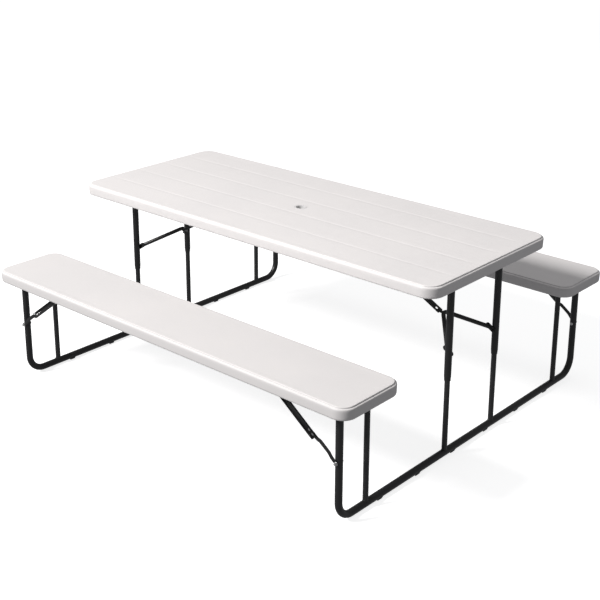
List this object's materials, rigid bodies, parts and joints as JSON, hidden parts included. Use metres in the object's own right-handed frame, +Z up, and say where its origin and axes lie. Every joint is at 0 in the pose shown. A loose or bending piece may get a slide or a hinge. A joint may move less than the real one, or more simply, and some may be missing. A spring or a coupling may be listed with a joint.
{
  "type": "folding picnic table",
  "caption": "Folding picnic table with two bench seats: blow-moulded plastic boards on tube end frames that fold inward, with an umbrella hole.",
  "frame": {"origin": "on the floor under the middle of the table top", "axes": "+X along the table towards one end frame, +Y across it towards the back bench, +Z up"},
  "size_m": [1.812, 1.643, 0.728],
  "materials": {
    "white_plastic": "satin off-white polyethylene with a faint moulded wood grain",
    "ring_plastic": "satin light grey moulded plastic",
    "black_powder_coat": "satin black powder coat with a fine orange peel",
    "zinc_steel": "bright zinc plate"
  },
  "bodies": {
    "benches": {"front_bench_seat": "white_plastic", "back_bench_seat": "white_plastic", "left_back_bench_anchor": "black_powder_coat", "left_back_bench_saddle": "black_powder_coat", "left_front_bench_anchor": "black_powder_coat", "left_front_bench_saddle": "black_powder_coat", "right_back_bench_anchor": "black_powder_coat", "right_back_bench_saddle": "black_powder_coat", "right_front_bench_anchor": "black_powder_coat", "right_front_bench_saddle": "black_powder_coat"},
    "table": {"table_top": "white_plastic", "umbrella_hole_ring": "ring_plastic", "left_table_anchor": "black_powder_coat", "right_table_anchor": "black_powder_coat"},
    "right_frame": {"right_back_bench_hinge_tube": "black_powder_coat", "right_back_bench_leg_bolt": "zinc_steel", "right_back_inner_leg": "black_powder_coat", "right_back_table_post": "black_powder_coat", "right_base_tube": "black_powder_coat", "right_front_bench_hinge_tube": "black_powder_coat", "right_front_bench_leg_bolt": "zinc_steel", "right_front_inner_leg": "black_powder_coat", "right_front_table_post": "black_powder_coat"},
    "right_table_legs": {"right_back_table_leg": "black_powder_coat", "right_back_yoke_bolt": "black_powder_coat", "right_front_table_leg": "black_powder_coat", "right_front_yoke_bolt": "black_powder_coat", "right_table_hinge_tube": "black_powder_coat"},
    "right_table_hangers": {"right_back_table_saddle": "black_powder_coat", "right_front_table_saddle": "black_powder_coat"},
    "right_table_link": {"right_table_link": "black_powder_coat"},
    "right_yoke": {"right_yoke": "black_powder_coat"},
    "right_bench_links": {"right_back_bench_link": "black_powder_coat", "right_front_bench_link": "black_powder_coat"},
    "right_bench_bars": {"right_back_bench_bar": "black_powder_coat", "right_front_bench_bar": "black_powder_coat"},
    "left_frame": {"left_back_bench_hinge_tube": "black_powder_coat", "left_back_bench_leg_bolt": "zinc_steel", "left_back_inner_leg": "black_powder_coat", "left_back_table_post": "black_powder_coat", "left_base_tube": "black_powder_coat", "left_front_bench_hinge_tube": "black_powder_coat", "left_front_bench_leg_bolt": "zinc_steel", "left_front_inner_leg": "black_powder_coat", "left_front_table_post": "black_powder_coat"},
    "left_table_legs": {"left_back_table_leg": "black_powder_coat", "left_back_yoke_bolt": "black_powder_coat", "left_front_table_leg": "black_powder_coat", "left_front_yoke_bolt": "black_powder_coat", "left_table_hinge_tube": "black_powder_coat"},
    "left_table_hangers": {"left_back_table_saddle": "black_powder_coat", "left_front_table_saddle": "black_powder_coat"},
    "left_table_link": {"left_table_link": "black_powder_coat"},
    "left_yoke": {"left_yoke": "black_powder_coat"},
    "left_bench_links": {"left_back_bench_link": "black_powder_coat", "left_front_bench_link": "black_powder_coat"},
    "left_bench_bars": {"left_back_bench_bar": "black_powder_coat", "left_front_bench_bar": "black_powder_coat"}
  },
  "joints": [
    {"name": "right_frame_fold", "type": "hinge", "parent": "benches", "child": "right_frame", "pos_m": [0.824, 0, 0.4055], "axis": [0, 1, 0], "range_deg": [0, 90]},
    {"name": "left_frame_fold", "type": "hinge", "parent": "benches", "child": "left_frame", "pos_m": [-0.824, 0, 0.4055], "axis": [0, -1, 0], "range_deg": [0, 90]},
    {"name": "table_drop", "type": "slide", "parent": "benches", "child": "table", "axis": [0, 0, -1], "range_m": [0, 0.263]},
    {"name": "right_leg_drop", "type": "slide", "parent": "right_frame", "child": "right_table_legs", "axis": [0, 0, -1], "range_m": [0, 0.263]},
    {"name": "right_table_hinge", "type": "hinge", "parent": "right_table_legs", "child": "right_table_hangers", "pos_m": [0.824, 0, 0.6685], "axis": [0, 1, 0], "range_deg": [-90, 0]},
    {"name": "right_table_link_fold", "type": "hinge", "parent": "table", "child": "right_table_link", "pos_m": [0.274, 0, 0.6945], "axis": [0, 1, 0], "range_deg": [-28.38, 0]},
    {"name": "right_yoke_fold", "type": "hinge", "parent": "right_table_legs", "child": "right_yoke", "pos_m": [0.824, 0, 0.3975], "axis": [0, 1, 0], "range_deg": [0, 53.05]},
    {"name": "right_bench_link_fold", "type": "hinge", "parent": "benches", "child": "right_bench_links", "pos_m": [0.5637, 0, 0.4235], "axis": [0, 1, 0], "range_deg": [-36.57, 0]},
    {"name": "right_bench_bar_fold", "type": "hinge", "parent": "right_frame", "child": "right_bench_bars", "pos_m": [0.824, 0, 0.2305], "axis": [0, 1, 0], "range_deg": [0, 44.83]},
    {"name": "left_leg_drop", "type": "slide", "parent": "left_frame", "child": "left_table_legs", "axis": [0, 0, -1], "range_m": [0, 0.263]},
    {"name": "left_table_hinge", "type": "hinge", "parent": "left_table_legs", "child": "left_table_hangers", "pos_m": [-0.824, 0, 0.6685], "axis": [0, -1, 0], "range_deg": [-90, 0]},
    {"name": "left_table_link_fold", "type": "hinge", "parent": "table", "child": "left_table_link", "pos_m": [-0.274, 0, 0.6945], "axis": [0, -1, 0], "range_deg": [-28.38, 0]},
    {"name": "left_yoke_fold", "type": "hinge", "parent": "left_table_legs", "child": "left_yoke", "pos_m": [-0.824, 0, 0.3975], "axis": [0, -1, 0], "range_deg": [0, 53.05]},
    {"name": "left_bench_link_fold", "type": "hinge", "parent": "benches", "child": "left_bench_links", "pos_m": [-0.5637, 0, 0.4235], "axis": [0, -1, 0], "range_deg": [-36.57, 0]},
    {"name": "left_bench_bar_fold", "type": "hinge", "parent": "left_frame", "child": "left_bench_bars", "pos_m": [-0.824, 0, 0.2305], "axis": [0, -1, 0], "range_deg": [0, 44.83]}
  ],
  "couplings": [
    {"joint": "left_frame_fold", "follows": "right_frame_fold", "ratio": 1},
    {"joint": "table_drop", "follows": "right_frame_fold", "m_per_rad": 0.16743},
    {"joint": "right_leg_drop", "follows": "right_frame_fold", "m_per_rad": 0.16743},
    {"joint": "right_table_hinge", "follows": "right_frame_fold", "ratio": -1},
    {"joint": "right_table_link_fold", "follows": "right_frame_fold", "ratio": -0.31521},
    {"joint": "right_yoke_fold", "follows": "right_frame_fold", "ratio": 0.58931},
    {"joint": "right_bench_link_fold", "follows": "right_frame_fold", "ratio": -0.40617},
    {"joint": "right_bench_bar_fold", "follows": "right_frame_fold", "ratio": 0.49802},
    {"joint": "left_leg_drop", "follows": "right_frame_fold", "m_per_rad": 0.16743},
    {"joint": "left_table_hinge", "follows": "right_frame_fold", "ratio": -1},
    {"joint": "left_table_link_fold", "follows": "right_frame_fold", "ratio": -0.31521},
    {"joint": "left_yoke_fold", "follows": "right_frame_fold", "ratio": 0.58931},
    {"joint": "left_bench_link_fold", "follows": "right_frame_fold", "ratio": -0.40617},
    {"joint": "left_bench_bar_fold", "follows": "right_frame_fold", "ratio": 0.49802}
  ]
}
